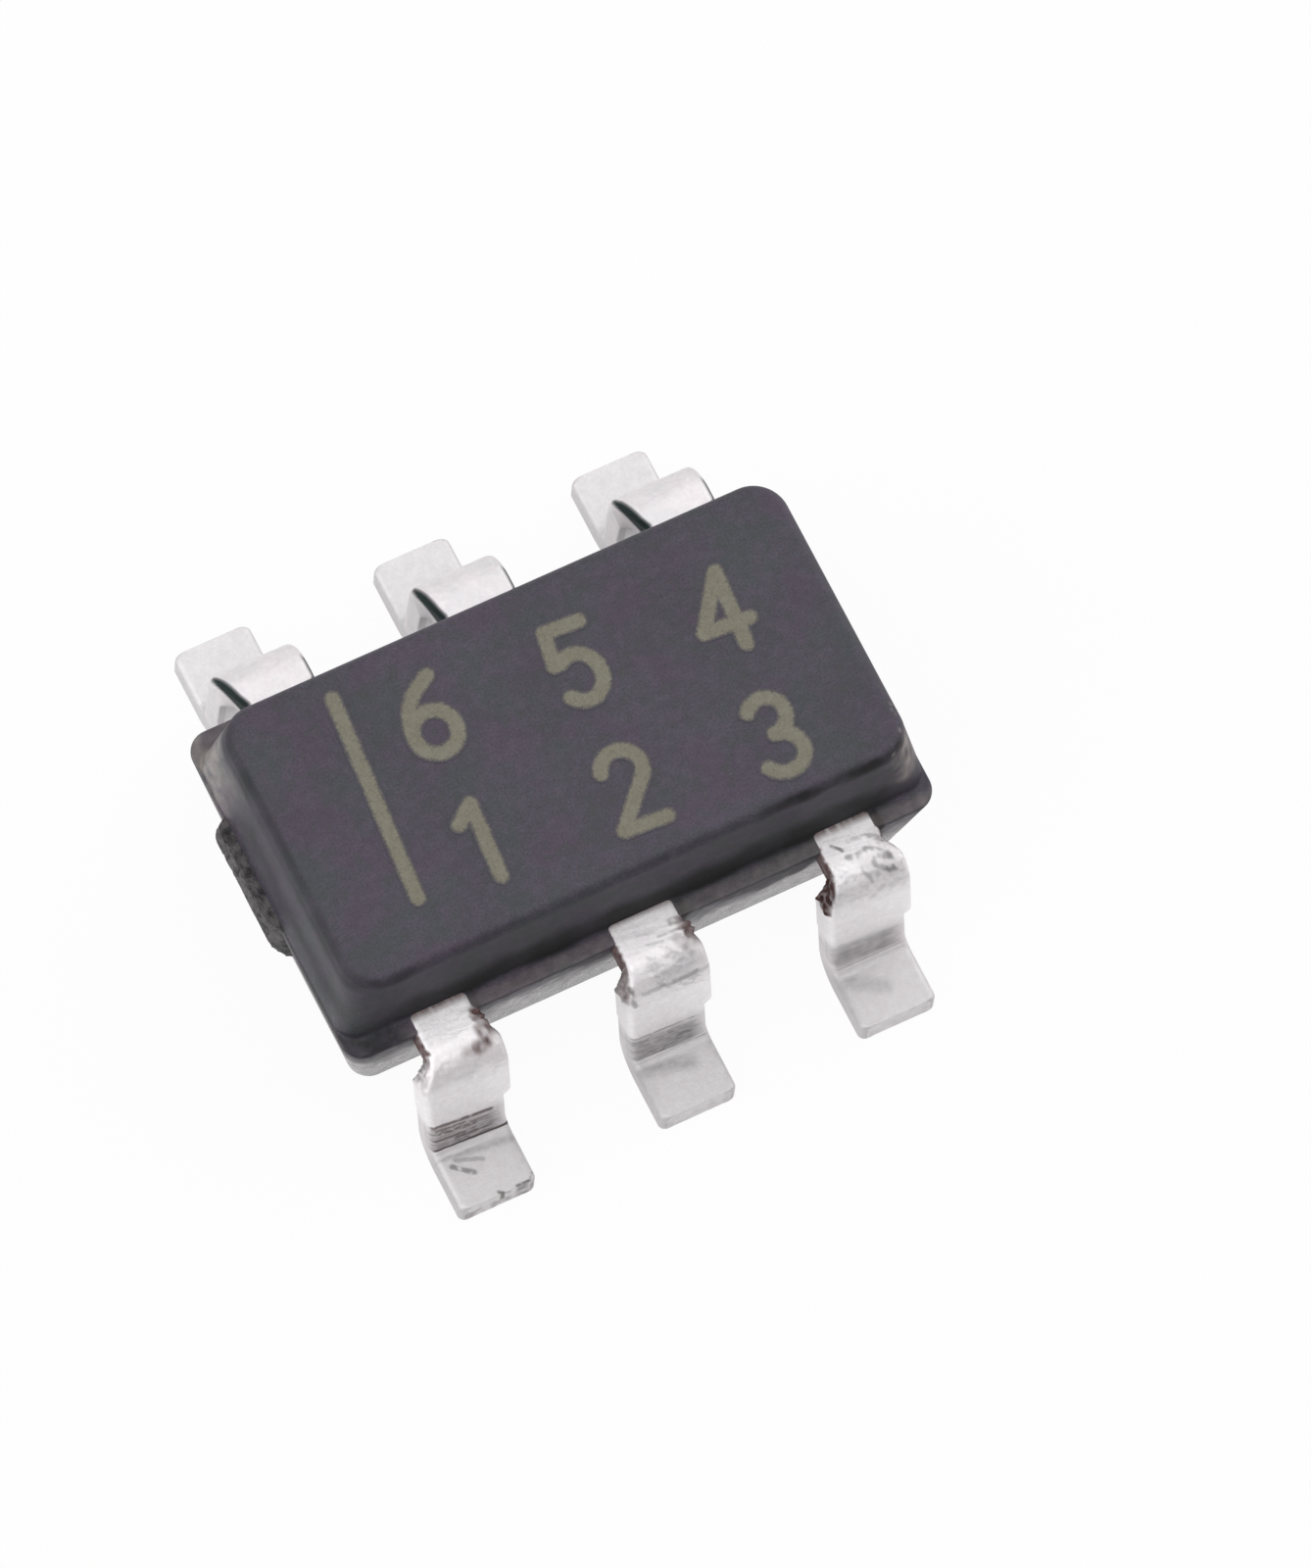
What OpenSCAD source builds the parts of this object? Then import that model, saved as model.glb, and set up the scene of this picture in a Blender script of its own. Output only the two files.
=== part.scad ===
// Six-lead surface-mount touch sensor IC: a moulded epoxy body with three gull-wing
// leads on each long side, and the chip, its pad and its bond wires sealed inside.
// The origin is at the middle of the leads, on the plane that the feet are soldered to.
// X runs along the long side of the body, Z points up, and lead 1 is at the front left.

/* [Body] */
// Distance from the middle of a corner lead out to the end of the body
end_reach = 0.44; // [0.36:0.01:0.7]
// Width of the body at its parting line, where its shelves are
body_width = 1.62; // [1.5:0.02:2.0]
// Height of the half above the parting line
upper_height = 0.43; // [0.36:0.01:0.7]
// Height of the half below the parting line
lower_height = 0.63; // [0.5:0.01:0.8]
// Clearance under the body when the feet are soldered down
standoff = 0.10; // [0.04:0.01:0.2]
// Distance that the body sits off the middle of the leads, towards +X
body_offset_x = 0.02; // [-0.05:0.01:0.05]
// Distance that the body sits off the middle of the leads, towards +Y
body_offset_y = 0.02; // [-0.05:0.01:0.05]
// Width of the shelf that the lower half leaves along each long side
shelf_width = 0.09; // [0.04:0.01:0.12]
// Distance that the lower half stands out at each end
end_step = 0.01; // [0.005:0.005:0.03]
// Slope of the upper long walls, in degrees from upright
upper_side_draft = 4; // [2:0.5:10]
// Slope of the upper end walls, in degrees from upright
upper_end_draft = 10; // [2:0.5:12]
// Slope of all walls below the parting line, in degrees from upright
lower_draft = 10; // [2:0.5:12]
// Height of the upright land just under the parting line
parting_land = 0.03; // [0.01:0.01:0.06]
// Corner radius seen from above, at the top face
top_corner_radius = 0.16; // [0.1:0.01:0.25]
// Corner radius seen from above, at the parting line
parting_corner_radius = 0.10; // [0.08:0.01:0.2]
// Radius along the edges of the top face
top_edge_radius = 0.06; // [0.02:0.01:0.1]
// Radius along the edges of the underside
bottom_edge_radius = 0.03; // [0.01:0.01:0.06]

/* [Gate scar] */
// Width of the broken runner stub on the left end
gate_width = 0.58; // [0.3:0.02:0.9]
// Distance from the middle of the body to the middle of the stub, towards +Y
gate_offset = 0.13; // [0:0.01:0.2]
// Height of the stub, down from the parting line
gate_height = 0.34; // [0.15:0.01:0.4]
// Distance that the stub stands out from the left end
gate_stub = 0.05; // [0.03:0.01:0.12]

/* [Leads] */
// Distance between neighbouring leads
pitch = 0.95; // [0.9:0.01:1.1]
// Length of the straight neck of the front leads, between the body and the upper bend
neck_length = 0.051; // [0.03:0.001:0.3]
// Thickness of the lead sheet
lead_thickness = 0.13; // [0.1:0.01:0.18]
// Width of the necks of the corner leads
corner_neck_width = 0.28; // [0.24:0.01:0.3]
// Width of the necks of the middle leads
middle_neck_width = 0.32; // [0.26:0.01:0.34]
// Distance that the necks sit off the middle of their feet, towards +X
neck_offset = 0.025; // [0:0.005:0.035]
// Width across the cut stubs of the dam bar
shoulder_width = 0.40; // [0.38:0.01:0.5]
// Distance that those stubs sit off the middle of the foot, towards +X
shoulder_offset = 0.015; // [0:0.005:0.03]
// Length over which the neck widens to the +X stub, up to the bend
stub_flare = 0.06; // [0.02:0.01:0.1]
// Height of the upper end of the -X stub, below the underside of the neck
stub_step = 0.02; // [0.01:0.005:0.05]
// Width of the foot
foot_width = 0.36; // [0.28:0.01:0.36]
// Length of the flat foot
foot_length = 0.24; // [0.15:0.01:0.35]
// Radius inside each of the two bends
bend_radius = 0.05; // [0.03:0.01:0.1]
// Slope of the shank of the front leads between the bends, in degrees from level
shank_angle = 80; // [60:1:82]
// Angle by which the shanks of the rear leads stand steeper
rear_shank_extra = 6; // [0:1:7]
// Height of the lower end of both stubs, above the top of the foot
stub_clearance = 0.25; // [0.1:0.01:0.3]
// Width of the chamfer at the lower end of both stubs
stub_chamfer = 0.02; // [0.01:0.005:0.03]
// Radius of the corners at the tip of the foot
tip_radius = 0.03; // [0.01:0.01:0.06]

/* [Inside the body] */
// Distance from the long walls in to the pad under the chip
pad_inset = 0.44; // [0.42:0.01:0.48]
// Gap between the pad and the ends of the other leads
pad_gap = 0.13; // [0.08:0.01:0.16]
// Thickness of the resin that the bonding tips keep between them and the long walls
tip_cover = 0.16; // [0.12:0.01:0.18]
// Width of the bonding tips of the four corner leads
tip_width = 0.42; // [0.36:0.01:0.44]
// Distance that those tips sit off their leads, towards the chip
tip_shift = 0.06; // [0.03:0.01:0.08]
// Gap between the bonding tips of two facing corner leads
facing_gap = 0.22; // [0.15:0.01:0.4]
// Width of the bonding tip of the middle rear lead
middle_tip_width = 0.62; // [0.46:0.02:0.7]
// Distance from the ends of the pad in to the chip
die_end_border = 0.22; // [0.15:0.01:0.25]
// Distance from the long edges of the pad in to the chip
die_side_border = 0.09; // [0.06:0.01:0.12]
// Thickness of the chip
die_thickness = 0.15; // [0.1:0.01:0.16]
// Thickness of the bonding paste under the chip
paste_thickness = 0.02; // [0.01:0.005:0.03]
// Border of bonding paste around the chip
paste_border = 0.03; // [0.01:0.01:0.05]

/* [Bond wires] */
// Diameter of a bond wire
wire_diameter = 0.025; // [0.02:0.001:0.035]
// Height of the wire loops above the chip
loop_height = 0.12; // [0.08:0.01:0.14]
// Diameter of the ball that joins a wire to the chip
ball_diameter = 0.06; // [0.05:0.005:0.08]
// Height of that ball
ball_height = 0.02; // [0.015:0.005:0.03]
// Length of the pressed stitch that joins a wire to a lead
stitch_length = 0.07; // [0.05:0.005:0.09]
// Distance from the chip's edge to the middle of a ball
ball_inset = 0.06; // [0.045:0.005:0.08]

/* [Hidden] */

// Facets of the round edges of the body and of the balls of the bond wires
corner_facets = 32;
ball_facets = 48;
// Steps along each bend of a lead and along each corner of its foot
arc_steps = 12;
// Sides of a bond wire and steps along its loop
wire_sides = 8;
wire_steps = 12;
// Distance that a cutting outline reaches past what it cuts
overcut = 0.05;

body_length = 2 * (pitch + end_reach);
half_width = body_width / 2;
parting_height = standoff + lower_height;
body_top = parting_height + upper_height;
lower_drop = lower_height - parting_land;
// The upper faces of the leads lie level with the parting line
sheet_top = parting_height;
lead_height = sheet_top - lead_thickness / 2;

bend_middle = bend_radius + lead_thickness / 2;
bend_outside = bend_radius + lead_thickness;
foot_middle = lead_thickness / 2;
// The two bends take their share of the drop, and the shank takes what is left
function shank_drop(angle) = lead_height - foot_middle - 2 * bend_middle * (1 - cos(angle));
// Distance between the start of the upper bend and the end of the lower one
function bent_run(angle) = 2 * bend_middle * sin(angle) + shank_drop(angle) / tan(angle);

// The feet lie at the same distance on both sides, and the front necks set that distance
knee_start = half_width + neck_length;
heel_end = knee_start + bent_run(shank_angle);
half_span = heel_end + foot_length;
// The +X stub starts at the bend, and the -X stub below the neck, where the shank starts
flare_start = knee_start - stub_flare;
step_start = knee_start + bend_radius;
stub_top = sheet_top - lead_thickness - stub_step;
stub_end = lead_thickness + stub_clearance;

// The corner tips stand beside the ends of the pad, and the rear middle tip behind it
tip_inner = pitch - tip_shift - tip_width / 2;
tip_outer = tip_inner + tip_width;
tip_rear = half_width - tip_cover;
pad_half_length = tip_inner - pad_gap;
pad_half_width = half_width - pad_inset;
middle_tip_front = pad_half_width + pad_gap;
middle_tip_depth = tip_rear - middle_tip_front;

die_length = 2 * (pad_half_length - die_end_border);
die_width = 2 * (pad_half_width - die_side_border);
paste_top = sheet_top + paste_thickness;
die_top = paste_top + die_thickness;

// Middle of a lead's foot along the body, for leads 1 to 6
function lead_x(number) = pitch * (number <= 3 ? number - 2 : 5 - number);
// Leads 1 to 3 are at the front and 4 to 6 at the rear
function lead_side(number) = number <= 3 ? -1 : 1;

// Where the ball of a wire sits on the chip
function ball_x(number) =
    (number == 2 ? 1 : sign(lead_x(number))) * (die_length / 2 - ball_inset);
function ball_y(number) =
    (number == 2 ? 0 : lead_side(number)) * (die_width / 2 - ball_inset);
// Where the stitch of a wire sits on its lead
function stitch_x(number) =
    number == 2 ? pad_half_length - stitch_length
    : number == 5 ? 0
    : sign(lead_x(number)) * (tip_inner + tip_width / 3);
function stitch_y(number) =
    number == 2 ? 0
    : number == 5 ? middle_tip_front + middle_tip_depth / 2
    : lead_side(number) * (facing_gap / 2 + tip_width / 2);

module rounded_slab(length, width, corner, edge, z) {
    // Four rings at the corners of a slab with round edges, to be hulled
    for (x = [-1, 1], y = [-1, 1])
        translate([x * (length / 2 - corner), y * (width / 2 - corner), z])
            rotate_extrude($fn = corner_facets)
                translate([corner - edge, 0])
                    circle(r = edge, $fn = corner_facets / 2);
}

module corner_posts(length, width, corner, z, height) {
    for (x = [-1, 1], y = [-1, 1])
        translate([x * (length / 2 - corner), y * (width / 2 - corner), z])
            cylinder(r = corner, h = height, $fn = corner_facets);
}

module upper_half() {
    length = body_length - 2 * end_step;
    width = body_width - 2 * shelf_width;
    rise = 2 * (upper_height - top_edge_radius);
    hull() {
        corner_posts(length, width, parting_corner_radius, parting_height, parting_land);
        rounded_slab(length - rise * tan(upper_end_draft), width - rise * tan(upper_side_draft),
                     top_corner_radius, top_edge_radius, body_top - top_edge_radius);
    }
}

module lower_half() {
    drop = 2 * (lower_drop - bottom_edge_radius);
    hull() {
        corner_posts(body_length, body_width,
                     parting_corner_radius, parting_height - parting_land, parting_land);
        rounded_slab(body_length - drop * tan(lower_draft), body_width - drop * tan(lower_draft),
                     parting_corner_radius, bottom_edge_radius, standoff + bottom_edge_radius);
    }
}

module gate_scar() {
    // The stub is thickest just under the parting line and thins towards its foot
    root = body_length / 2 - parting_corner_radius;
    rotate([90, 0, 0])
        translate([0, 0, -gate_offset - gate_width / 2])
            linear_extrude(gate_width)
                polygon([
                    [-root, parting_height],
                    [-body_length / 2 - gate_stub / 2, parting_height],
                    [-body_length / 2 - gate_stub, parting_height - gate_height / 4],
                    [-body_length / 2 - gate_stub / 2, parting_height - gate_height],
                    [-root, parting_height - gate_height]
                ]);
}

module mould_body() {
    color([0.31, 0.30, 0.34])
        difference() {
            translate([body_offset_x, body_offset_y, 0]) {
                upper_half();
                lower_half();
                gate_scar();
            }
            union() {
                for (number = [1 : 6]) {
                    lead(number);
                    bond_wire(number);
                }
                die_attach_shape();
                die_shape();
            }
        }
}

// Points of an arc, for the bends seen from the side and for the corners of a foot
function arc(centre, radius, from, to) = [for (step = [0 : arc_steps])
    let (angle = from + (to - from) * step / arc_steps)
    centre + radius * [cos(angle), sin(angle)]
];

module side_profile(inner_end, angle) {
    // The bent sheet seen along X, with Y and Z drawn as the flat outline's X and Y
    knee = [heel_end - bent_run(angle), sheet_top - bend_outside];
    heel = [heel_end, foot_middle + bend_middle];
    polygon(concat(
        [[inner_end, sheet_top]],
        arc(knee, bend_outside, 90, 90 - angle),
        arc(heel, bend_radius, 270 - angle, 270),
        [[half_span, lead_thickness], [half_span, 0]],
        arc(heel, bend_outside, 270, 270 - angle),
        arc(knee, bend_radius, 90 - angle, 90),
        [[inner_end, sheet_top - lead_thickness]]
    ));
}

module plan_outline(tip, neck, shoulder) {
    // The stamped outline seen from above: bonding tip, neck, dam bar stubs and foot
    corner = foot_width / 2 - tip_radius;
    corner_y = half_span - tip_radius;
    polygon(concat(
        [
            tip[0], [tip[1][0], tip[0][1]], tip[1],
            [neck[1], tip[1][1]], [neck[1], flare_start],
            [shoulder[1], knee_start], [shoulder[1], heel_end], [foot_width / 2, heel_end]
        ],
        arc([corner, corner_y], tip_radius, 0, 90),
        arc([-corner, corner_y], tip_radius, 90, 180),
        [
            [-foot_width / 2, heel_end], [shoulder[0], heel_end], [shoulder[0], step_start],
            [neck[0], step_start], [neck[0], tip[1][1]], [tip[0][0], tip[1][1]]
        ]
    ));
}

module stub_cuts(neck, shoulder) {
    // What is cut away beside the neck on the -X side, and below both stubs, seen along Y
    far = shoulder_width;
    low = stub_end - stub_chamfer;
    polygon([
        [-far, stub_top], [shoulder[0], stub_top], [neck[0], stub_top + stub_chamfer],
        [neck[0], sheet_top + overcut], [-far, sheet_top + overcut]
    ]);
    polygon([
        [-far, stub_end], [-far, -overcut], [-foot_width / 2, -overcut],
        [-foot_width / 2, low], [shoulder[0], stub_end]
    ]);
    polygon([
        [far, stub_end], [shoulder[1], stub_end], [foot_width / 2, low],
        [foot_width / 2, -overcut], [far, -overcut]
    ]);
}

// Left and right edge of a strip of the given width, with a sideways offset
function edges(offset, width) = [offset - width / 2, offset + width / 2];

// Two opposite corners of the inner end of a lead, with its foot at x = 0 and pointing to +Y
function inner_tip(number) =
    number == 2 ? [[-pad_half_length, -pad_half_width], [pad_half_length, pad_half_width]]
    : number == 5 ? [[-middle_tip_width / 2, middle_tip_front], [middle_tip_width / 2, tip_rear]]
    : lead_x(number) < 0
        ? [[pitch - tip_outer, facing_gap / 2], [pitch - tip_inner, tip_rear]]
    : [[tip_inner - pitch, facing_gap / 2], [tip_outer - pitch, tip_rear]];

module rear_lead(tip, neck, shoulder, angle) {
    reach = max(-tip[0][0], tip[1][0], shoulder_width) + overcut;
    difference() {
        intersection() {
            translate([-reach, 0, 0])
                rotate([90, 0, 90])
                    linear_extrude(2 * reach)
                        side_profile(tip[0][1], angle);
            translate([0, 0, -overcut])
                linear_extrude(sheet_top + 2 * overcut)
                    plan_outline(tip, neck, shoulder);
        }
        translate([0, half_span + overcut, 0])
            rotate([90, 0, 0])
                linear_extrude(half_span - knee_start + overcut)
                    stub_cuts(neck, shoulder);
    }
}

module lead(number) {
    // The front leads mirror the rear ones, so every offset points towards +X on both sides
    width = lead_x(number) == 0 ? middle_neck_width : corner_neck_width;
    tip = inner_tip(number);
    neck = edges(neck_offset, width);
    shoulder = edges(shoulder_offset, shoulder_width);
    translate([lead_x(number), 0, 0])
        if (lead_side(number) < 0)
            mirror([0, 1, 0]) rear_lead(tip, neck, shoulder, shank_angle);
        else
            rear_lead(tip, neck, shoulder, shank_angle + rear_shank_extra);
}

module die_attach_shape() {
    border = 2 * paste_border;
    translate([-die_length / 2 - paste_border, -die_width / 2 - paste_border, sheet_top])
        cube([die_length + border, die_width + border, paste_thickness]);
}

module die_shape() {
    translate([-die_length / 2, -die_width / 2, paste_top])
        cube([die_length, die_width, die_thickness]);
}

// One point of a cubic curve through four guide values
function curve(a, b, c, d, t) =
    pow(1 - t, 3) * a + 3 * pow(1 - t, 2) * t * b + 3 * (1 - t) * t * t * c + t * t * t * d;
// Slope of the same curve
function curve_slope(a, b, c, d, t) =
    3 * pow(1 - t, 2) * (b - a) + 6 * (1 - t) * t * (c - b) + 3 * t * t * (d - c);

module wire_loop(reach, start_z, peak_z, end_z) {
    // A tube that leaves the ball upright, arches over and comes down on the lead
    ring = [for (step = [0 : wire_steps])
        let (
            t = step / wire_steps,
            x = curve(0, 0, reach * 0.45, reach, t),
            z = curve(start_z, peak_z, peak_z, end_z, t),
            dx = curve_slope(0, 0, reach * 0.45, reach, t),
            dz = curve_slope(start_z, peak_z, peak_z, end_z, t),
            size = norm([dx, dz])
        )
        for (corner = [0 : wire_sides - 1])
            let (
                angle = (corner + 0.5) * 360 / wire_sides,
                out = cos(angle) * wire_diameter / 2,
                across = sin(angle) * wire_diameter / 2
            )
            [x - out * dz / size, across, z + out * dx / size]
    ];
    sides = [for (step = [0 : wire_steps - 1], corner = [0 : wire_sides - 1])
        let (
            a = step * wire_sides + corner,
            b = step * wire_sides + (corner + 1) % wire_sides
        )
        [a, b, b + wire_sides, a + wire_sides]
    ];
    last = wire_steps * wire_sides;
    polyhedron(
        points = ring,
        faces = concat(
            sides,
            [[for (corner = [wire_sides - 1 : -1 : 0]) corner]],
            [[for (corner = [0 : wire_sides - 1]) last + corner]]
        )
    );
}

module bond_wire(number) {
    dx = stitch_x(number) - ball_x(number);
    dy = stitch_y(number) - ball_y(number);
    reach = norm([dx, dy]);
    sink = wire_diameter / 4;
    translate([ball_x(number), ball_y(number), 0])
        rotate([0, 0, atan2(dy, dx)]) {
            translate([0, 0, die_top])
                cylinder(d = ball_diameter, h = ball_height, $fn = ball_facets);
            wire_loop(reach, die_top + sink, die_top + loop_height * 4 / 3, sheet_top + wire_diameter / 2);
            translate([reach - stitch_length / 2, -wire_diameter, sheet_top])
                cube([stitch_length, 2 * wire_diameter, wire_diameter / 2]);
        }
}

module copper_lead(number) {
    color([0.84, 0.82, 0.82]) lead(number);
}

module gold_wire(number) {
    color([0.85, 0.66, 0.30]) bond_wire(number);
}

module die_attach() {
    color([0.70, 0.70, 0.68]) die_attach_shape();
}

module silicon_die() {
    color([0.36, 0.38, 0.45]) die_shape();
}

mould_body();
copper_lead(1);  // lead_1
copper_lead(2);  // lead_2_with_die_pad
copper_lead(3);  // lead_3
copper_lead(4);  // lead_4
copper_lead(5);  // lead_5
copper_lead(6);  // lead_6
die_attach();
silicon_die();
gold_wire(1);  // bond_wire_1
gold_wire(2);  // bond_wire_2
gold_wire(3);  // bond_wire_3
gold_wire(4);  // bond_wire_4
gold_wire(5);  // bond_wire_5
gold_wire(6);  // bond_wire_6
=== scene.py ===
# Looks of the touch sensor IC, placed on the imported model.
# Sizes are in millimetres, and become metres where a mesh is made. Noise scales are per metre.
from math import cos, exp, hypot, pi, radians, sin, sqrt, tan

import bpy
from mathutils import Matrix, Vector, noise

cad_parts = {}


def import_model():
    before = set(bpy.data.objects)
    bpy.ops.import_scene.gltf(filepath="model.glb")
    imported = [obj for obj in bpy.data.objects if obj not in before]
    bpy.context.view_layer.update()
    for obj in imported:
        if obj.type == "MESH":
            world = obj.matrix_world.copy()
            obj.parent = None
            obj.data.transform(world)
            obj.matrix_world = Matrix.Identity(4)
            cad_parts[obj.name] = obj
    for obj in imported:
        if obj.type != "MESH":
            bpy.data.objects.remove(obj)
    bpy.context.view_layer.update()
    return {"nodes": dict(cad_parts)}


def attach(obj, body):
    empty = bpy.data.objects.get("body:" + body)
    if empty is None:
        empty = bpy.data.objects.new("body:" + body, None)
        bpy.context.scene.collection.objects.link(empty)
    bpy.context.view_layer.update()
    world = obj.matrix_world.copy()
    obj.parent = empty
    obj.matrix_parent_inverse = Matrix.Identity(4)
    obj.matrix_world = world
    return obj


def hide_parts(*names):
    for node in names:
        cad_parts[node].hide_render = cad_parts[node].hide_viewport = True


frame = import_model()
nodes = frame["nodes"]
scene = bpy.context.scene
MM = 0.001
WHITE = (1, 1, 1)


class Graph:
    """The nodes of a material or of the world, with a short call for each kind."""

    def __init__(self, owner, output):
        owner.use_nodes = True
        self.tree = owner.node_tree
        self.tree.nodes.clear()
        self.output = self.add(output, {})

    def add(self, kind, inputs, **settings):
        node = self.tree.nodes.new(kind)
        for name, value in settings.items():
            setattr(node, name, value)
        for key, value in inputs.items():
            self.put(node.inputs[key], value)
        return node

    def put(self, socket, value):
        if hasattr(value, "is_output"):
            self.tree.links.new(value, socket)
        else:
            socket.default_value = value

    def coordinates(self, kind):
        return self.add("ShaderNodeTexCoord", {}).outputs[kind]

    def split(self, vector):
        return self.add("ShaderNodeSeparateXYZ", {"Vector": vector}).outputs

    def spread(self, value, low, high, to_low=0, to_high=1):
        limits = {"Value": value, "From Min": low, "From Max": high,
                  "To Min": to_low, "To Max": to_high}
        return self.add("ShaderNodeMapRange", limits).outputs["Result"]

    def calc(self, operation, a, b):
        return self.add("ShaderNodeMath", {0: a, 1: b}, operation=operation).outputs["Value"]

    def times(self, a, b):
        return self.calc("MULTIPLY", a, b)

    def mix(self, factor, a, b, blend_type="MIX"):
        a, b = (colour if hasattr(colour, "is_output") else (*colour, 1) for colour in (a, b))
        inputs = {0: factor, 6: a, 7: b}
        return self.add("ShaderNodeMix", inputs, data_type="RGBA", blend_type=blend_type).outputs[2]

    def rays(self):
        """Camera rays, and all rays that see a surface straight or mirrored."""
        kinds = self.add("ShaderNodeLightPath", {}).outputs
        seen = self.calc("MAXIMUM", kinds["Is Camera Ray"], kinds["Is Glossy Ray"])
        return kinds["Is Camera Ray"], self.calc("MAXIMUM", seen, kinds["Is Transmission Ray"])


class Surface(Graph):
    """A material with one principled shader."""

    def __init__(self, name):
        self.material = bpy.data.materials.new(name)
        super().__init__(self.material, "ShaderNodeOutputMaterial")
        self.where = self.coordinates("Object")

    def noise(self, scale, detail=3, roughness=0.6, distortion=0, vector=None):
        inputs = {"Vector": self.where if vector is None else vector, "Scale": scale,
                  "Detail": detail, "Roughness": roughness, "Distortion": distortion}
        return self.add("ShaderNodeTexNoise", inputs).outputs["Fac"]

    def attribute(self, name):
        """The three tones that make_piece stores at each point."""
        colour = self.add("ShaderNodeVertexColor", {}, layer_name=name).outputs["Color"]
        parts = self.add("ShaderNodeSeparateColor", {"Color": colour}).outputs
        return parts["Red"], parts["Green"], parts["Blue"]

    def shade(self, base, value, low, high, dark, bright):
        """The base colour times a grey that runs from dark to bright."""
        grey = self.spread(value, low, high, dark, bright)
        node = self.add("ShaderNodeCombineColor", {"Red": grey, "Green": grey, "Blue": grey})
        return self.mix(1, base, node.outputs["Color"], "MULTIPLY")

    def bump(self, height, distance, strength=1, normal=None):
        inputs = {"Strength": strength, "Distance": distance * MM, "Height": height}
        if normal is not None:
            inputs["Normal"] = normal
        return self.add("ShaderNodeBump", inputs).outputs["Normal"]

    def finish(self, base, rough, normal, metallic=0, specular=0.5):
        shader = self.add("ShaderNodeBsdfPrincipled", {
            "Base Color": base, "Roughness": rough, "Normal": normal,
            "Metallic": metallic, "Specular IOR Level": specular})
        self.put(self.output.inputs["Surface"], shader.outputs["BSDF"])
        return self.material


# Moulded epoxy
def epoxy_material():
    m = Surface("epoxy_moulded")
    broad = m.noise(3400, 4)
    cloud = m.noise(17000)
    speck = m.noise(95000, 2, 0.7)
    shade_and_dirt, gloss, pale_and_sheen = m.attribute("body_tone")
    base = m.mix(m.spread(broad, 0.4, 0.6), (0.048, 0.034, 0.057), (0.035, 0.039, 0.047))
    base = m.mix(m.spread(cloud, 0.46, 0.62, 0, 0.7), base, (0.056, 0.044, 0.066))
    base = m.mix(m.spread(cloud, 0.44, 0.34, 0, 0.7), base, (0.036, 0.037, 0.041))
    base = m.shade(base, m.noise(26000, 2), 0.36, 0.64, 0.91, 1.1)
    base = m.shade(base, m.noise(1900, 2, 0.5), 0.36, 0.64, 0.92, 1.08)
    base = m.shade(base, speck, 0.32, 0.7, 0.55, 1.5)
    # Painted shade, with a darker band at the front, darkens the resin
    base = m.mix(shade_and_dirt, base, (0.006, 0.006, 0.007))
    # Pale resin, chips and residue, with painted highlights and a painted reflection of the floor
    base = m.mix(pale_and_sheen, base, (0.34, 0.3, 0.28))
    rough = m.calc("SUBTRACT", m.spread(speck, 0.3, 0.7, 0.5, 0.66), m.times(gloss, 0.38))
    rough = m.calc("ADD", rough, m.times(shade_and_dirt, 0.35))
    return m.finish(base, rough, m.bump(cloud, 0.004, 0.6, m.bump(speck, 0.0026)))


def scar_material():
    m = Surface("epoxy_broken")
    chips = m.noise(16000, 5, 0.65, 0.6)
    speck = m.noise(80000, 3, 0.7)
    base = m.mix(m.spread(chips, 0.4, 0.58), (0.02, 0.019, 0.02), (0.135, 0.125, 0.128))
    base = m.mix(m.spread(speck, 0.58, 0.74), base, (0.14, 0.135, 0.13))
    normal = m.bump(speck, 0.006, 1, m.bump(chips, 0.02, 0.8))
    return m.finish(base, m.spread(speck, 0.3, 0.7, 0.62, 0.85), normal, specular=0.4)


def mark_material():
    m = Surface("laser_mark")
    speck = m.noise(110000, 3, 0.75)
    cloud = m.noise(21000)
    depth = m.attribute("mark_depth")[0]
    cover = m.calc("ADD", depth, m.spread(speck, 0.35, 0.65, -0.3, 0.22))
    base = m.mix(m.spread(speck, 0.32, 0.62), (0.155, 0.146, 0.108), (0.235, 0.222, 0.168))
    base = m.mix(m.spread(cloud, 0.45, 0.75, 0, 0.6), base, (0.25, 0.24, 0.2))
    base = m.mix(m.spread(speck, 0.7, 0.76), base, (0.42, 0.41, 0.37))
    base = m.mix(m.spread(cover, 0.1, 0.8), (0.056, 0.048, 0.06), base)
    rough = m.calc("ADD", m.spread(speck, 0.3, 0.7, 0.52, 0.68),
                   m.spread(cover, 0.1, 0.8, 0, 0.2))
    return m.finish(base, rough, m.bump(speck, 0.003))


# On the flat map of the leads, lead n lies round 4n across, and its underside 3 further on
MAP_LEAD = 4
MAP_UNDER = 3


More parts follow.
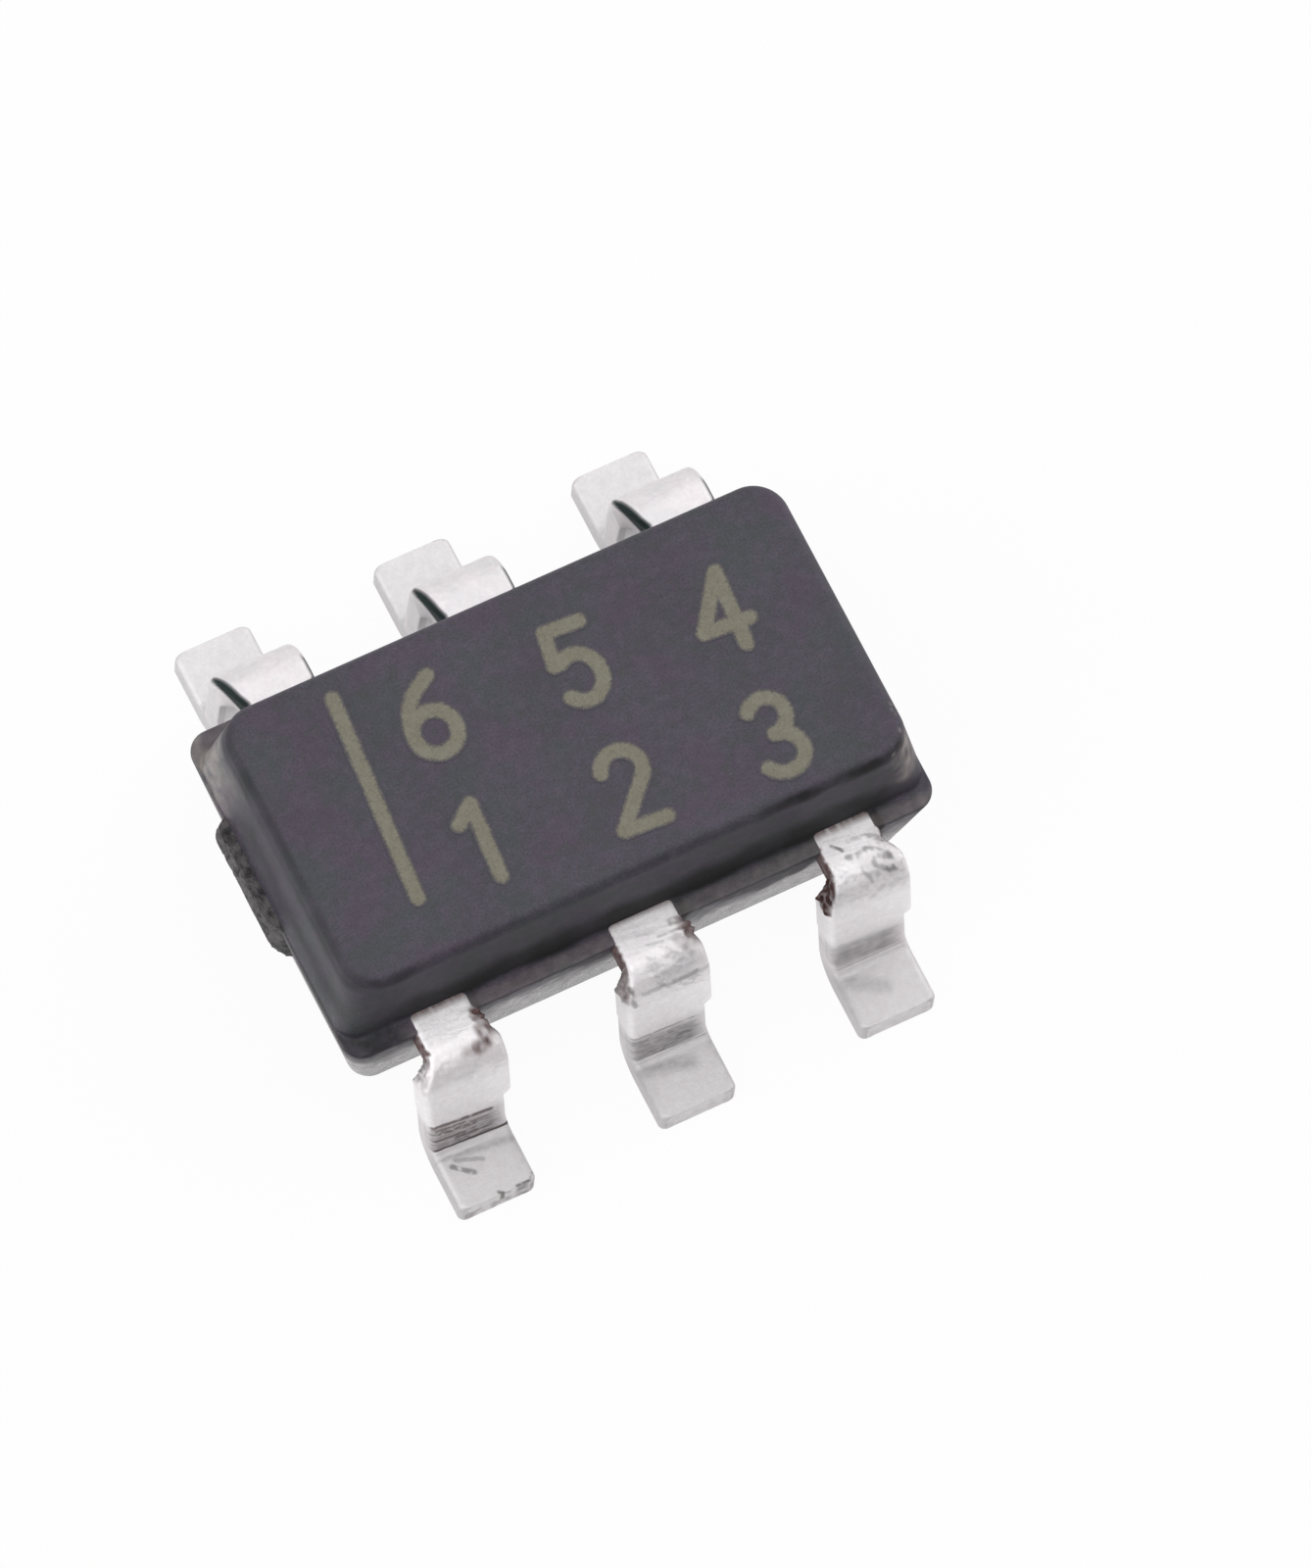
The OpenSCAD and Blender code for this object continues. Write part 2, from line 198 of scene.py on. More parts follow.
# Tin plate over copper
def tin_material():
    m = Surface("tin_plate_matte")
    flat = m.coordinates("UV")
    fine = m.noise(70, vector=flat)
    grain = m.noise(170, 2, vector=flat)
    mottle = m.noise(24, 4, 0.65, 0.3, vector=flat)
    stretched = m.add("ShaderNodeMapping", {"Vector": flat, "Scale": (6, 62, 1)})
    brushed = m.noise(1, 4, 0.6, 0.4, vector=stretched.outputs["Vector"])
    dark, copper, scuff = m.attribute("lead_tone")
    place = m.split(flat)
    across, along = place["X"], place["Y"]
    inner = m.calc("MODULO", m.calc("ADD", across, 0.5), MAP_LEAD)

    neck = m.spread(along, 0.97, 0.84)
    shank = m.times(m.spread(along, 0.94, 1.04), m.spread(along, 1.34, 1.24))
    foot = m.spread(along, 1.46, 1.56)
    near = m.spread(across, 15.5, 15.3)
    far_foot = m.spread(m.calc("SUBTRACT", foot, near), 0, 1)
    far_side = m.times(m.spread(inner, 0.31, 0.27), m.spread(across, 14, 14.5))
    under = m.spread(inner, MAP_UNDER, MAP_UNDER + 0.1)
    bright = m.times(m.calc("MAXIMUM", neck, shank), m.spread(across, 14.5, 14, 0.25, 1))
    near_tip = m.times(m.spread(along, 1.839, 1.849), near)
    tip = m.calc("MAXIMUM", near_tip, m.spread(along, 1.876, 1.886))

    base = m.mix(m.spread(m.noise(5200), 0.38, 0.64), (0.82, 0.78, 0.79), (0.74, 0.73, 0.74))
    # Painted light: the necks and shanks get a paler base, fully on the front leads and a quarter
    # as much on the rear ones
    base = m.mix(bright, base, (0.99, 0.97, 0.98))
    # Painted shade: a darker base on the feet, less dark on the rear leads, with the tip faces left
    # paler
    base = m.mix(foot, base, (0.62, 0.605, 0.61))
    base = m.mix(far_foot, base, (0.7, 0.69, 0.69))
    # Painted light on the undersides, which face the body on the shanks and lie in its shade
    base = m.mix(under, base, (0.99, 0.98, 0.98))
    base = m.mix(tip, base, (0.75, 0.73, 0.735))
    # Painted shade on the left flanks of the rear leads
    base = m.mix(m.times(far_side, 0.18), base, (0.55, 0.54, 0.54))
    tint = m.mix(m.spread(mottle, 0.34, 0.66), (0.925, 0.915, 0.925), WHITE)
    base = m.mix(1, base, tint, "MULTIPLY")
    tint = m.mix(m.spread(fine, 0.3, 0.7), (0.925, 0.915, 0.92), WHITE)
    base = m.mix(1, base, tint, "MULTIPLY")
    base = m.mix(m.times(scuff, m.spread(brushed, 0.42, 0.6)), base, (0.4, 0.37, 0.38))
    # Dark marks, and painted shade on the rear leads' left wedges and right edges
    base = m.mix(dark, base, (0.016, 0.026, 0.026))
    # Dark brown for bare copper, darker than clean copper: on the neck flanks this darkness is
    # painted shade
    dark_tone = m.mix(m.spread(fine, 0.36, 0.62), (0.034, 0.01, 0.011), (0.135, 0.052, 0.046))
    base = m.mix(m.times(copper, m.spread(grain, 0.25, 0.6, 0.8, 1)), base, dark_tone)

    covered = m.calc("MAXIMUM", m.spread(dark, 0.5, 1), copper)
    metallic = m.times(m.calc("SUBTRACT", 1, covered), 0.7)
    rough = m.calc("ADD", m.spread(fine, 0.3, 0.7, 0.46, 0.6), m.times(scuff, 0.12))
    rough = m.calc("ADD", rough, m.times(copper, 0.15))
    normal = m.bump(fine, 0.002, 1, m.bump(grain, 0.0012))
    normal = m.bump(m.times(scuff, brushed), 0.006, 1, normal)
    return m.finish(base, rough, normal, metallic, 0.12)


def copper_material():
    m = Surface("copper_bare")
    fine = m.noise(60000)
    base = m.mix(m.spread(m.noise(8000), 0.4, 0.62), (0.86, 0.45, 0.3), (0.72, 0.36, 0.24))
    base = m.mix(m.spread(fine, 0.4, 0.7, 0, 0.5), base, (0.5, 0.24, 0.17))
    return m.finish(base, m.spread(fine, 0.3, 0.7, 0.28, 0.42), m.bump(fine, 0.001), 1)


# Pieces sealed inside
def silicon_material():
    m = Surface("silicon_polished")
    blocks = m.add("ShaderNodeTexBrick", {
        "Vector": m.where, "Scale": 14000, "Color1": (0.2, 0.18, 0.26, 1),
        "Color2": (0.13, 0.16, 0.2, 1), "Mortar": (0.34, 0.31, 0.26, 1),
        "Mortar Size": 0.035}).outputs
    cloud = m.noise(9000)
    base = m.mix(m.spread(cloud, 0.35, 0.65, 0, 0.6), blocks["Color"], (0.16, 0.14, 0.24))
    rough = m.spread(cloud, 0.3, 0.7, 0.12, 0.24)
    return m.finish(base, rough, m.bump(blocks["Fac"], 0.0008), 0.35)


def paste_material():
    m = Surface("bonding_paste_silver")
    flakes = m.add("ShaderNodeTexVoronoi", {"Vector": m.where, "Scale": 90000}).outputs["Distance"]
    cloud = m.noise(14000)
    base = m.mix(m.spread(cloud, 0.35, 0.65), (0.42, 0.41, 0.38), (0.6, 0.59, 0.56))
    base = m.mix(m.spread(flakes, 0.1, 0.5, 0.5, 0), base, (0.78, 0.78, 0.76))
    return m.finish(base, m.spread(cloud, 0.3, 0.7, 0.4, 0.6), m.bump(flakes, 0.002), 0.5)


def gold_material():
    m = Surface("gold_wire_drawn")
    fine = m.noise(150000, 2)
    base = m.mix(m.spread(fine, 0.35, 0.65), (0.92, 0.66, 0.26), (0.84, 0.56, 0.2))
    return m.finish(base, m.spread(fine, 0.3, 0.7, 0.18, 0.3), m.bump(fine, 0.0006), 1)


EPOXY = epoxy_material()
SCAR = scar_material()
MARK = mark_material()
TIN = tin_material()
COPPER = copper_material()


def make_piece(name, points, faces, materials, crease, tones=None, indices=None, uvs=None):
    """A smooth mesh of points in millimetres. Tones are a name and three values a point."""
    mesh = bpy.data.meshes.new(name)
    mesh.from_pydata([(x * MM, y * MM, z * MM) for x, y, z in points], [], faces)
    for material in materials:
        mesh.materials.append(material)
    if indices:
        mesh.polygons.foreach_set("material_index", indices)
    if uvs:
        layer = mesh.uv_layers.new(name="flat")
        for loop in mesh.loops:
            layer.data[loop.index].uv = uvs[loop.vertex_index]
    if tones:
        layer = mesh.color_attributes.new(tones[0], "FLOAT_COLOR", "POINT")
        layer.data.foreach_set("color", [part for tone in tones[1] for part in (*tone, 1)])
    mesh.shade_smooth()
    mesh.set_sharp_from_angle(angle=radians(crease))
    mesh.update()
    piece = bpy.data.objects.new(name, mesh)
    scene.collection.objects.link(piece)
    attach(piece, "root")
    return piece


def band_faces(start, count, flip=False):
    """Quads between a ring of count points from start and the ring after it."""
    faces = []
    for step in range(count):
        a = start + step
        b = start + (step + 1) % count
        face = (a, b, b + count, a + count)
        faces.append(face[::-1] if flip else face)
    return faces


def smooth_noise(x, y, z):
    return noise.noise(Vector((x, y, z)))


def wave(x, y, scale, seed):
    return smooth_noise(x * scale, y * scale, seed)


def grit(x, y, z, scale, seed):
    return smooth_noise(x * scale + seed, y * scale - seed, z * scale + 2 * seed)


def clamp(value):
    return min(max(value, 0), 1)


def blend(value, low, high):
    """Smooth step from 0 at low to 1 at high."""
    t = clamp((value - low) / (high - low))
    return t * t * (3 - 2 * t)


def window(value, low, full, last, end):
    """Rises from 0 at low to 1 at full, and falls from 1 at last to 0 at end."""
    return blend(value, low, full) * (1 - blend(value, last, end))


def hump(value, middle, width):
    """Bell curve, 1 at the middle."""
    return exp(-((value - middle) / width) ** 2)


def quarter(steps):
    """Angles from 0 to a right angle."""
    return [radians(90 * step / steps) for step in range(steps + 1)]


def distance(x, y, ax, ay, bx, by):
    """How far a place is from the line between two others."""
    dx, dy = bx - ax, by - ay
    size = dx * dx + dy * dy
    t = clamp(((x - ax) * dx + (y - ay) * dy) / size) if size else 0
    return hypot(x - ax - dx * t, y - ay - dy * t)


# Body, as rings of a rounded rectangle from the underside up to the top
BODY_X = BODY_Y = 0.02
BODY_LENGTH = 2.78
BODY_WIDTH = 1.62
FOOT_OF_BODY = 0.1
PARTING = 0.73
LAND = 0.03
TOP = 1.158
SHELF = 0.09
SHELF_SINK = 0.008
SHELF_ROUND = 0.012
SHELF_FILLET = 0.02
END_STEP = 0.01
END_SHARE = 0.4
END_RUN = 0.002
LOWER_SLOPE = UPPER_END_SLOPE = tan(radians(10))
UPPER_SIDE_SLOPE = tan(radians(4))
CORNER = 0.1
TOP_CORNER = 0.16
TOP_EDGE = 0.06
TOP_RIM = 0.02
BOTTOM_EDGE = 0.03
# Steps of the mesh, round the body and from its underside up
CORNER_STEPS = 14
SHORT_STEPS = 84
LONG_STEPS = 150
BOTTOM_EDGE_STEPS = 6
LOWER_WALL_STEPS = 28
SHELF_ROUND_STEPS = 4
SHELF_STEPS = 4
SHELF_FILLET_STEPS = 5
UPPER_WALL_STEPS = 18
TOP_EDGE_STEPS = 12
# Shade and dirt, gloss, and paleness of the underside
UNDERSIDE_TONE = (0, 0.9, 0.32)
# Painted shadows of the front necks, as dark lines on the wall at their right: middle of the lead,
# its right edge, and strength
NECK_SHADOWS = ((-0.95, 0.165, 0.5), (0, 0.185, 0.6), (0.95, 0.165, 0.9))


def rounded_ring(length, width, corner, z):
    half_x = length / 2 - corner
    half_y = width / 2 - corner
    signs = [(1, -1), (1, 1), (-1, 1), (-1, -1)]

    def on_corner(turn, degrees):
        sx, sy = signs[turn % 4]
        angle = radians(degrees)
        return sx * half_x + corner * cos(angle), sy * half_y + corner * sin(angle)

    points = []
    for turn in range(4):
        for step in range(CORNER_STEPS + 1):
            points.append(on_corner(turn, -90 + 90 * turn + 90 * step / CORNER_STEPS))
        begin, end = points[-1], on_corner(turn + 1, 90 * turn)
        steps = LONG_STEPS if turn % 2 else SHORT_STEPS
        for step in range(1, steps):
            t = step / steps
            points.append((begin[0] + (end[0] - begin[0]) * t, begin[1] + (end[1] - begin[1]) * t))
    return [(x + BODY_X, y + BODY_Y, z) for x, y in points]


def body_levels():
    """Height, inset of the ends, inset of the sides and corner radius of each ring."""
    levels = []
    low = FOOT_OF_BODY + BOTTOM_EDGE
    land = PARTING - LAND
    for angle in quarter(BOTTOM_EDGE_STEPS):
        cut = BOTTOM_EDGE * (1 - sin(angle))
        inset = cut + (land - low) * LOWER_SLOPE
        levels.append((low - BOTTOM_EDGE * cos(angle), inset, inset, CORNER - cut))
    for step in range(1, LOWER_WALL_STEPS + 1):
        z = low + (land - low) * step / LOWER_WALL_STEPS
        inset = (land - z) * LOWER_SLOPE
        levels.append((z, inset, inset, CORNER))
    shelf = PARTING - SHELF_SINK
    for angle in quarter(SHELF_ROUND_STEPS):
        inset = SHELF_ROUND * (1 - cos(angle))
        z = shelf - SHELF_ROUND + SHELF_ROUND * sin(angle)
        levels.append((z, inset * END_SHARE, inset, CORNER))
    _, end, side, _ = levels[-1]
    for step in range(1, SHELF_STEPS + 1):
        t = step / SHELF_STEPS
        levels.append((shelf, end + END_RUN * t, side + (SHELF - SHELF_FILLET - side) * t, CORNER))
    _, end, side, _ = levels[-1]
    for angle in quarter(SHELF_FILLET_STEPS)[1:]:
        z = shelf + SHELF_FILLET * (1 - cos(angle))
        levels.append((z, end + (END_STEP - end) * sin(angle),
                       side + SHELF_FILLET * sin(angle), CORNER))
    start = shelf + SHELF_FILLET
    edge = TOP - TOP_EDGE
    for step in range(1, UPPER_WALL_STEPS + 1):
        t = step / UPPER_WALL_STEPS
        rise = (edge - start) * t
        levels.append((start + rise, END_STEP + rise * UPPER_END_SLOPE,
                       SHELF + rise * UPPER_SIDE_SLOPE, CORNER + (TOP_CORNER - CORNER) * t))
    _, end, side, corner = levels[-1]
    for angle in quarter(TOP_EDGE_STEPS)[1:]:
        inset = TOP_EDGE * (1 - cos(angle))
        z = edge + TOP_EDGE * sin(angle)
        levels.append((z, end + inset, side + inset, corner - inset))
    z, end, side, corner = levels[-1]
    levels.append((z, end + TOP_RIM, side + TOP_RIM, corner - TOP_RIM))
    return levels


def front_band_and_shadows(x, z):
    """Darker band on the lower front wall and painted shadows of the necks, as pairs of darkness
    and of how much paleness and gloss it hides.
    """
    below = PARTING - z
    reach = 0.04 + 0.2 * window(x, 0.25, 0.6, 0.76, 0.84)
    reach += 0.12 * window(x, -0.42, -0.26, -0.15, -0.08)
    reach += 0.05 * wave(x, 0, 11, 4) + 0.05 * wave(x, z, 34, 6)
    dark_band = 0.75 * (1 - blend(below, reach - 0.03, reach + 0.02))
    dark_band *= 1 - blend(-below, -0.02, -0.01)
    band_and_shadows = [(0.55 * dark_band, dark_band)]
    # Painted shadows that the necks cast on the wall at their right
    for place, right, strength in NECK_SHADOWS:
        gap = abs(x + BODY_X - place - right - 0.012 - 0.05 * below)
        line = strength * (1 - blend(gap, 0.008, 0.024)) * window(-below, -0.3, -0.16, 0, 0.02)
        band_and_shadows.append((line, line))
    return band_and_shadows


def body_tone(x, y, z):
    """Painted shade and dirt, gloss, and pale resin with painted highlights and reflections at a
    place of the body, each from 0 to 1.
    """
    if z < FOOT_OF_BODY + 0.001:
        return UNDERSIDE_TONE
    ragged = grit(x, y, z, 7, 3.1)
    fine = grit(x, y, z, 26, 5.2)
    up = z - PARTING
    down = TOP - z

    # Painted shade in the corner over the shelf, fading up the upper wall
    low = hump(max(up - 0.085 - 0.03 * ragged, 0), 0, 0.115)
    inward = blend(0.745 - abs(y) + 0.012 * ragged, 0, 0.025) * blend(1.37 - abs(x), 0, 0.06)
    if y < 0:
        inward *= 1 - 0.88 * blend(x + 0.05 * ragged, 1.12, 1.28) \
            - 0.8 * blend(-x + 0.1 * ragged, 1.02, 1.26)
    shade_and_dirt = low * inward * blend(up, -0.02, -0.008) * (0.92 + 0.3 * ragged)

    # Gloss of the lower walls and the left end
    under = blend(-up + 0.05 * fine, 0.06, 0.42 + 0.2 * ragged)
    end = blend(-x, 1.25, 1.35) * blend(up, -0.02, 0) * blend(down + 0.02 * ragged, 0.07, 0.15)
    end *= 0.15 + 0.85 * max(blend(y, 0.3, 0.62), 0.7 * blend(-y, 0.5, 0.7))
    gloss = max(under * (0.9 + 0.3 * fine), 0.85 * end)

    # Painted shade on the upper edges at the left end and the front, over the front upper wall, and
    # in the middle of the left end
    brim = blend(-x, 1.2, 1.28) * window(down, 0, 0.012, 0.08, 0.14)
    shade_and_dirt = max(shade_and_dirt, 0.45 * brim * (0.8 + 0.8 * ragged))
    front = blend(-y, 0.6, 0.66) * blend(down, 0, 0.016) * blend(up, 0, 0.01)
    edge = front * (1 - blend(down + 0.02 * fine, 0.02, 0.11)) * (1 - blend(x, 1.24, 1.33))
    edge *= 0.34 + 0.58 * blend(x, 0.3, 0.9) + 0.34 * blend(-x, 0.95, 1.25)
    shade_and_dirt = max(shade_and_dirt, edge * (0.9 + 0.9 * ragged + 0.5 * fine), 0.26 * front)
    middle = (1 - blend(y, 0.15, 0.5)) * blend(-x, 1.3, 1.36)
    shade_and_dirt = max(shade_and_dirt, 0.42 * middle * hump(up, 0.15 + 0.04 * ragged, 0.06))

    # Pale resin on the lower walls, and a painted reflection of the floor that brightens them
    # downwards, both hidden at the front by the darker band and the painted neck shadows
    pale_and_sheen = 0.3 * blend(fine + 0.6 * ragged, 0.3, 0.55) * blend(-up, 0.08, 0.3)
    # Painted reflection of the floor, brighter towards the foot of the lower walls
    pale_and_sheen = max(pale_and_sheen, (0.36 + 0.1 * blend(-y, 0.6, 0.7)) * under * (0.9 + 0.5 * fine))
    if y < -0.6:
        for dark_tone, cover in front_band_and_shadows(x, z):
            shade_and_dirt = max(shade_and_dirt, dark_tone)
            pale_and_sheen *= 1 - cover
            gloss *= 1 - cover

    # The rim of the shelf, paler, with painted shade at the left front corner
    corner = blend(-y, 0.6, 0.7) * blend(-x + 0.04 * ragged, 1.04, 1.16)
    corner *= window(up, -0.035, -0.02, 0.01, 0.04)
    shade_and_dirt = max(shade_and_dirt, corner * (0.62 + 0.5 * fine + 0.3 * ragged))
    ledge = blend(abs(y), 0.735, 0.765) * blend(up, -0.02, -0.01) * blend(0.03 - up, 0, 0.01)
    pale_and_sheen = max(pale_and_sheen, ledge * (0.22 + 0.16 * fine) * (1 - corner))

    # Painted highlights on the right front corner and at the rear of the left end, a paler lower
    # part of the left end, chips at the right front edge and residue under the parting line
    lit = blend(x, 1.16, 1.3) * blend(-y, 0.5, 0.66)
    lit *= blend(up, 0.08, 0.2) * blend(down, 0.01, 0.05)
    pale_and_sheen = max(pale_and_sheen, lit * (0.5 + 0.75 * fine + 0.3 * ragged))
    pale_and_sheen = max(pale_and_sheen, end * blend(y, 0.2, 0.6) * (0.54 + 0.55 * fine + 0.4 * ragged))
    pale_and_sheen = max(pale_and_sheen, 0.14 * blend(-x, 1.375, 1.39) * blend(0.03 - up, 0, 0.03))
    chip = blend(fine + 0.7 * grit(x, y, z, 55, 2), 0.38, 0.62)
    chip *= blend(x, 1.1, 1.24) * blend(-y, 0.3, 0.5) * window(down, 0.002, 0.01, 0.06, 0.1)
    residue = blend(fine + 0.8 * grit(x, y, z, 60, 8), 0.42, 0.7) * hump(up, -0.1, 0.07)
    pale_and_sheen = max(pale_and_sheen, 0.5 * chip, (0.18 + 0.27 * blend(-y, 0.7, 0.76)) * residue)
    return clamp(shade_and_dirt), clamp(gloss), clamp(pale_and_sheen)


def body_shell():
    points = []
    levels = body_levels()
    for z, inset_x, inset_y, corner in levels:
        points += rounded_ring(BODY_LENGTH - 2 * inset_x, BODY_WIDTH - 2 * inset_y, corner, z)
    count = len(points) // len(levels)
    last = len(points) - count
    faces = []
    for start in range(0, last, count):
        faces += band_faces(start, count)
    faces.append(tuple(range(count - 1, -1, -1)))
    faces.append(tuple(range(last, last + count)))
    tones = [body_tone(x - BODY_X, y - BODY_Y, z) for x, y, z in points]
    piece = make_piece("body_shell", points, faces, [EPOXY], crease=50, tones=("body_tone", tones))
    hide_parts("mould_body")


# Broken runner stub on the left end
GATE_WIDTH = 0.58
GATE_OFFSET = 0.13
GATE_HEIGHT = 0.34
GATE_OUT = 0.05
GATE_BELOW = 0.004
GATE_SUNK = 0.02
GATE_BACK = 0.12
GATE_COLUMNS = 58
GATE_ROWS = 36


def gate_scar():
    points = []
    faces = []
    wall = -BODY_LENGTH / 2 + BODY_X
    for row in range(GATE_ROWS + 1):
        v = row / GATE_ROWS
        z = PARTING - GATE_BELOW - GATE_HEIGHT * v
        drop = 0.5 * blend(v, 0.25, 1) * GATE_HEIGHT * LOWER_SLOPE
        swell = 0.92 + 0.08 * sin(pi * min(v * 1.4, 1))
        for column in range(GATE_COLUMNS + 1):
            u = column / GATE_COLUMNS
            y = BODY_Y + GATE_OFFSET + GATE_WIDTH * (u - 0.5)
            rim = min(blend(u, 0, 0.12), blend(1 - u, 0, 0.06), blend(1 - v, 0, 0.14),
                      blend(v, -0.2, 0.03))
            chips = noise.cell(Vector((y * 13 + 0.4 * wave(y, z, 14, 1), z * 10, 4)))
            flakes = noise.cell(Vector((y * 31, z * 27 + 0.5 * wave(y, z, 20, 2), 8)))
            rough = 0.93 + 0.12 * chips + 0.1 * flakes
            rough += 0.14 * wave(y, z, 12, 5) + 0.12 * wave(y, z, 40, 6)
            out = GATE_OUT * min(max(rough, 0.15), 1) * swell * rim
            x = wall + drop - out + (GATE_SUNK if rim <= 0.001 else 0)
            points.append((max(x, wall - GATE_OUT), y, z))
    stride = GATE_COLUMNS + 1
    for row in range(GATE_ROWS):
        for column in range(GATE_COLUMNS):
            a = row * stride + column
            faces.append((a, a + 1, a + 1 + stride, a + stride))
    # A shallow back closes the piece inside the wall
    border = list(range(stride))
    border += [row * stride + GATE_COLUMNS for row in range(1, GATE_ROWS + 1)]
    border += [GATE_ROWS * stride + column for column in range(GATE_COLUMNS - 1, -1, -1)]
    border += [row * stride for row in range(GATE_ROWS - 1, 0, -1)]
    first = len(points)
    points += [(wall + GATE_BACK, points[index][1], points[index][2]) for index in border]
    total = len(border)
    for step in range(total):
        after = (step + 1) % total
        faces.append((border[after], border[step], first + step, first + after))
    faces.append(tuple(range(first, first + total)))
    piece = make_piece("gate_scar", points, faces, [SCAR], crease=60)


# Leads
THICK = 0.13
HALF_THICK = THICK / 2
BEND_INSIDE = 0.05
BEND = BEND_INSIDE + HALF_THICK
LEAD_Z = PARTING - HALF_THICK
HEEL_END = 1.15979
FOOT_LENGTH = 0.24
HALF_SPAN = HEEL_END + FOOT_LENGTH
FOOT_HALF = 0.18
TIP_ROUND = 0.03
NECK_SHIFT = 0.025
CORNER_NECK_HALF = 0.14
MIDDLE_NECK_HALF = 0.16
STUB_LEFT = -0.185
STUB_RIGHT = 0.215
STUB_DROP = 0.205
STUB_RAMP = 0.02
FRONT_ANGLE = 80
REAR_ANGLE = 86
PITCH = 0.95
# Left, right, start and end of the wide inner tips and of the pad
LEFT_TIP = (-0.15, 0.27, 0.11, 0.65)
RIGHT_TIP = (-0.27, 0.15, 0.11, 0.65)
INNER_TIPS = {1: LEFT_TIP, 2: (-0.55, 0.55, -0.37, 0.37), 3: RIGHT_TIP,
              4: RIGHT_TIP, 5: (-0.31, 0.31, 0.5, 0.65), 6: LEFT_TIP}
# Bare copper inside the body, up to here
PLATED_FROM = 0.655
# Start and end of the flare to the stubs, for the front leads and the rear ones
LEFT_FLARE = ((0.885, 1.01), (0.86, 1.02))
RIGHT_FLARE = ((0.83, 0.92), (0.8, 0.86))
# Torn burr on the right edge of the front necks: middle, half length and how far it stands out
BURR = {1: (0.825, 0.056, 0.024), 2: (0.838, 0.034, 0.026), 3: (0.8, 0.03, 0.004)}
UPPER_ROUND = 0.032
LOWER_ROUND = 0.01
# Steps round the section, and places of the rings inside the body and where they show
TOP_STEPS = 40
BOTTOM_STEPS = 12
ROUND_STEPS = 5
FLANK_STEPS = 8
INNER_TIP_STEPS = 6
TIP_STEPS = 8
TIP_RINGS = (0.8, 0.6, 0.4, 0.2, 0.02)
SEALED_STEP = 0.03
SEALED_END = 0.74
SHOWN_FROM = 0.745
SHOWN_STEP = 0.005
LEAST_STEP = 0.0004
NECK_JUMP = 0.0005


class Bend:
    """The middle line of a bent lead, by the distance along the flat sheet."""

    def __init__(self, degrees):
        angle = self.angle = radians(degrees)
        fall = LEAD_Z - HALF_THICK - 2 * BEND * (1 - cos(angle))
        run = 2 * BEND * sin(angle) + fall / tan(angle)
        arc = BEND * angle
        self.knee = HEEL_END - run
        self.shank_start = self.knee + arc
        self.heel_start = self.shank_start + fall / sin(angle)
        self.foot_start = self.heel_start + arc
        self.tip = self.foot_start + FOOT_LENGTH

    def at(self, s):
        """Distance from the middle of the part, height and slope of the sheet at s."""
        if s <= self.knee:
            return s, LEAD_Z, 0
        if s <= self.shank_start:
            t = (s - self.knee) / BEND
            return self.knee + BEND * sin(t), LEAD_Z - BEND * (1 - cos(t)), t
        y = self.knee + BEND * sin(self.angle)
        z = LEAD_Z - BEND * (1 - cos(self.angle))
        if s <= self.heel_start:
            t = s - self.shank_start
            return y + t * cos(self.angle), z - t * sin(self.angle), self.angle
        if s <= self.foot_start:
            t = self.angle - (s - self.heel_start) / BEND
            return HEEL_END - BEND * sin(t), HALF_THICK + BEND * (1 - cos(t)), t
        return HEEL_END + s - self.foot_start, HALF_THICK, 0


BENDS = {-1: Bend(FRONT_ANGLE), 1: Bend(REAR_ANGLE)}


def lead_place(number):
    """X of the middle of a lead, and -1 for the front leads 1 to 3 or 1 for the rear ones."""
    return (PITCH * (number - 2), -1) if number <= 3 else (PITCH * (5 - number), 1)


def sides_at(number, s, bend):
    """Left and right edge of the flat strip at s, for a lead that points to +Y."""
    tip_left, tip_right, _, tip_end = INNER_TIPS[number]
    if s <= tip_end:
        return tip_left, tip_right
    half = MIDDLE_NECK_HALF if number in (2, 5) else CORNER_NECK_HALF
    left, right = NECK_SHIFT - half, NECK_SHIFT + half
    start, end = LEFT_FLARE[number > 3]
    left += (STUB_LEFT - left) * clamp((s - start) / (end - start))
    right += (STUB_RIGHT - right) * blend(s, *RIGHT_FLARE[number > 3])
    if number <= 3:
        middle, reach, out = BURR[number]
        torn = 0.8 + 0.9 * wave(s, 0, 60, number)
        right += out * blend(1 - abs(s - middle) / reach, 0, 0.6) * torn
    ramp = (s - bend.shank_start - STUB_DROP) / STUB_RAMP
    if ramp > 0:
        left = STUB_LEFT + (-FOOT_HALF - STUB_LEFT) * min(ramp, 1)
        right = STUB_RIGHT + (FOOT_HALF - STUB_RIGHT) * min(ramp, 1)
    t = clamp((s - bend.tip + TIP_ROUND) / TIP_ROUND)
    cut = TIP_ROUND * (1 - sqrt(1 - t * t))
    return left + cut, right - cut


def cut_edge():
    """A cut edge from the top down: distance in from the edge, depth, and way along it."""
    angles = quarter(ROUND_STEPS)
    places = [(UPPER_ROUND * (1 - sin(a)), HALF_THICK - UPPER_ROUND * (1 - cos(a)),
               UPPER_ROUND * (a - 1)) for a in angles[1:]]
    for step in range(1, FLANK_STEPS):
        down = UPPER_ROUND + (THICK - UPPER_ROUND - LOWER_ROUND) * step / FLANK_STEPS
        places.append((0, HALF_THICK - down, down))
    places += [(LOWER_ROUND * (1 - cos(a)), LOWER_ROUND * (1 - sin(a)) - HALF_THICK,
                THICK - LOWER_ROUND * (1 - a)) for a in angles]
    return places


CUT_EDGE = cut_edge()


